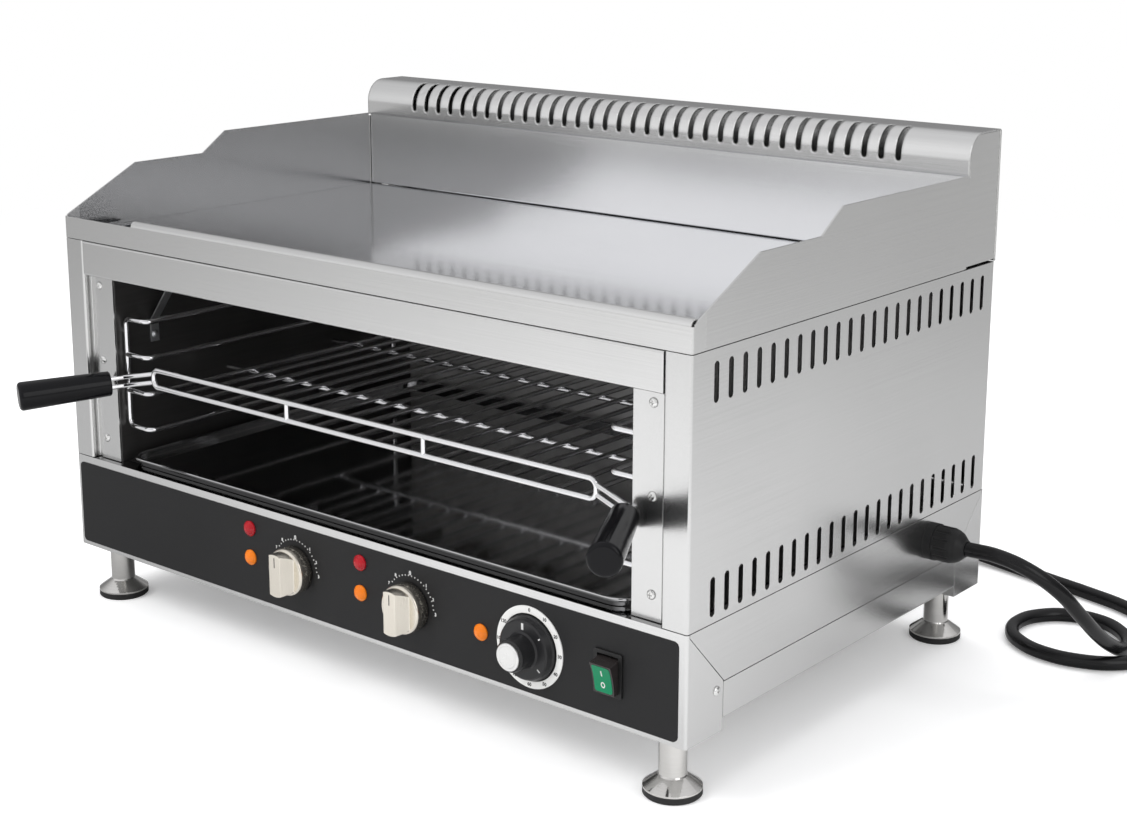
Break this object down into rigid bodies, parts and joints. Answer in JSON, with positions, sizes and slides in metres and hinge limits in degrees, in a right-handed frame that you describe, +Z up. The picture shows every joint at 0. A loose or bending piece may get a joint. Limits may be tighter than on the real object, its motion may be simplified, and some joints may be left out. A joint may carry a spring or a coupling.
{
  "type": "countertop grill with griddle top",
  "caption": "Countertop electric grill: open-fronted cavity with a sliding wire rack and crumb tray, a flat griddle plate with splash guards on top, and knobs, timer and rocker switch in front.",
  "frame": {"origin": "centre of the bounding box's bottom face, on the floor under the grill and its rack handles, without the mains lead", "axes": "+X to the right seen from the front, +Y to the back, +Z up"},
  "size_m": [0.7583, 0.6403, 0.403],
  "materials": {
    "casing_steel": "brushed stainless sheet",
    "control_black": "matte, very fine grain",
    "liner_steel": "heat-darkened, semi-gloss",
    "bright_wire": "chromed wire",
    "polished_steel": "polished pressed sheet",
    "griddle_steel": "ground and polished plate",
    "handle_black": "glossy bakelite",
    "element_sheath": "oxidised sheath",
    "zinc_steel": "zinc-plated",
    "screw_steel": "bright steel",
    "knob_nickel": "warm satin nickel",
    "dial_white": "satin white",
    "switch_black": "satin black",
    "rocker_green": "gloss, translucent green",
    "red_lens": "gloss lens",
    "amber_lens": "gloss lens",
    "foot_steel": "turned and brushed",
    "pad_rubber": "soft black rubber",
    "terminal_ceramic": "glazed steatite",
    "gland_black": "moulded nylon",
    "cord_rubber": "semi-gloss rubber sheath",
    "pin_brass": "nickel-plated brass"
  },
  "bodies": {
    "casing": {"side_panel_left": "casing_steel", "side_panel_right": "casing_steel", "rear_panel": "casing_steel", "top_rail": "casing_steel", "control_panel": "casing_steel", "control_overlay": "control_black", "base_tray": "casing_steel", "base_side_left": "casing_steel", "base_side_right": "casing_steel", "base_rear_panel": "casing_steel", "cavity_floor": "liner_steel", "liner_left": "liner_steel", "liner_right": "liner_steel", "liner_rear": "liner_steel", "cavity_ceiling": "liner_steel", "inner_strip_left": "casing_steel", "inner_strip_right": "casing_steel", "strip_screws": "screw_steel", "rack_support_left": "bright_wire", "rack_support_right": "bright_wire", "griddle_apron": "casing_steel", "griddle_plate": "griddle_steel", "splash_guard_left": "casing_steel", "splash_guard_right": "casing_steel", "splash_back": "casing_steel", "flue_cover": "casing_steel", "flue_end_left": "casing_steel", "flue_end_right": "casing_steel", "grill_element": "element_sheath", "griddle_element": "element_sheath", "element_brackets": "zinc_steel", "thermostat_left": "zinc_steel", "thermostat_right": "zinc_steel", "timer_mechanism": "zinc_steel", "timer_dial_ring": "dial_white", "switch_housing": "switch_black", "red_lamps": "red_lens", "amber_lamps": "amber_lens", "lamp_holders": "switch_black", "feet": "foot_steel", "foot_pads": "pad_rubber", "terminal_block": "terminal_ceramic", "casing_screws": "screw_steel", "cable_gland": "gland_black", "gland_nut": "gland_black", "cord_tube": "cord_rubber", "cord_coil": "cord_rubber", "cord_tie": "switch_black", "mains_plug": "cord_rubber", "plug_pins": "pin_brass"},
    "rack": {"wire_rack": "bright_wire", "rack_handle_left": "handle_black", "rack_handle_right": "handle_black"},
    "tray": {"crumb_tray": "polished_steel"},
    "knob_left": {"thermostat_knob_left": "knob_nickel"},
    "knob_right": {"thermostat_knob_right": "knob_nickel"},
    "timer_knob": {"timer_knob": "handle_black", "timer_knob_cap": "knob_nickel"},
    "rocker": {"switch_rocker": "rocker_green"}
  },
  "joints": [
    {"name": "rack_slide", "type": "slide", "parent": "casing", "child": "rack", "axis": [0, -1, 0], "range_m": [0, 0.22]},
    {"name": "crumb_tray_slide", "type": "slide", "parent": "casing", "child": "tray", "axis": [0, -1, 0], "range_m": [0, 0.28]},
    {"name": "thermostat_left_turn", "type": "hinge", "parent": "casing", "child": "knob_left", "pos_m": [-0.048, -0.17449, 0.0825], "axis": [0, 1, 0], "range_deg": [0, 285]},
    {"name": "thermostat_right_turn", "type": "hinge", "parent": "casing", "child": "knob_right", "pos_m": [0.07, -0.17449, 0.0825], "axis": [0, 1, 0], "range_deg": [0, 285]},
    {"name": "timer_turn", "type": "hinge", "parent": "casing", "child": "timer_knob", "pos_m": [0.181, -0.17449, 0.0807], "axis": [0, 1, 0], "range_deg": [0, 300]},
    {"name": "switch_rock", "type": "hinge", "parent": "casing", "child": "rocker", "pos_m": [0.2482, -0.16049, 0.0805], "axis": [-1, 0, 0], "range_deg": [0, 26]}
  ]
}
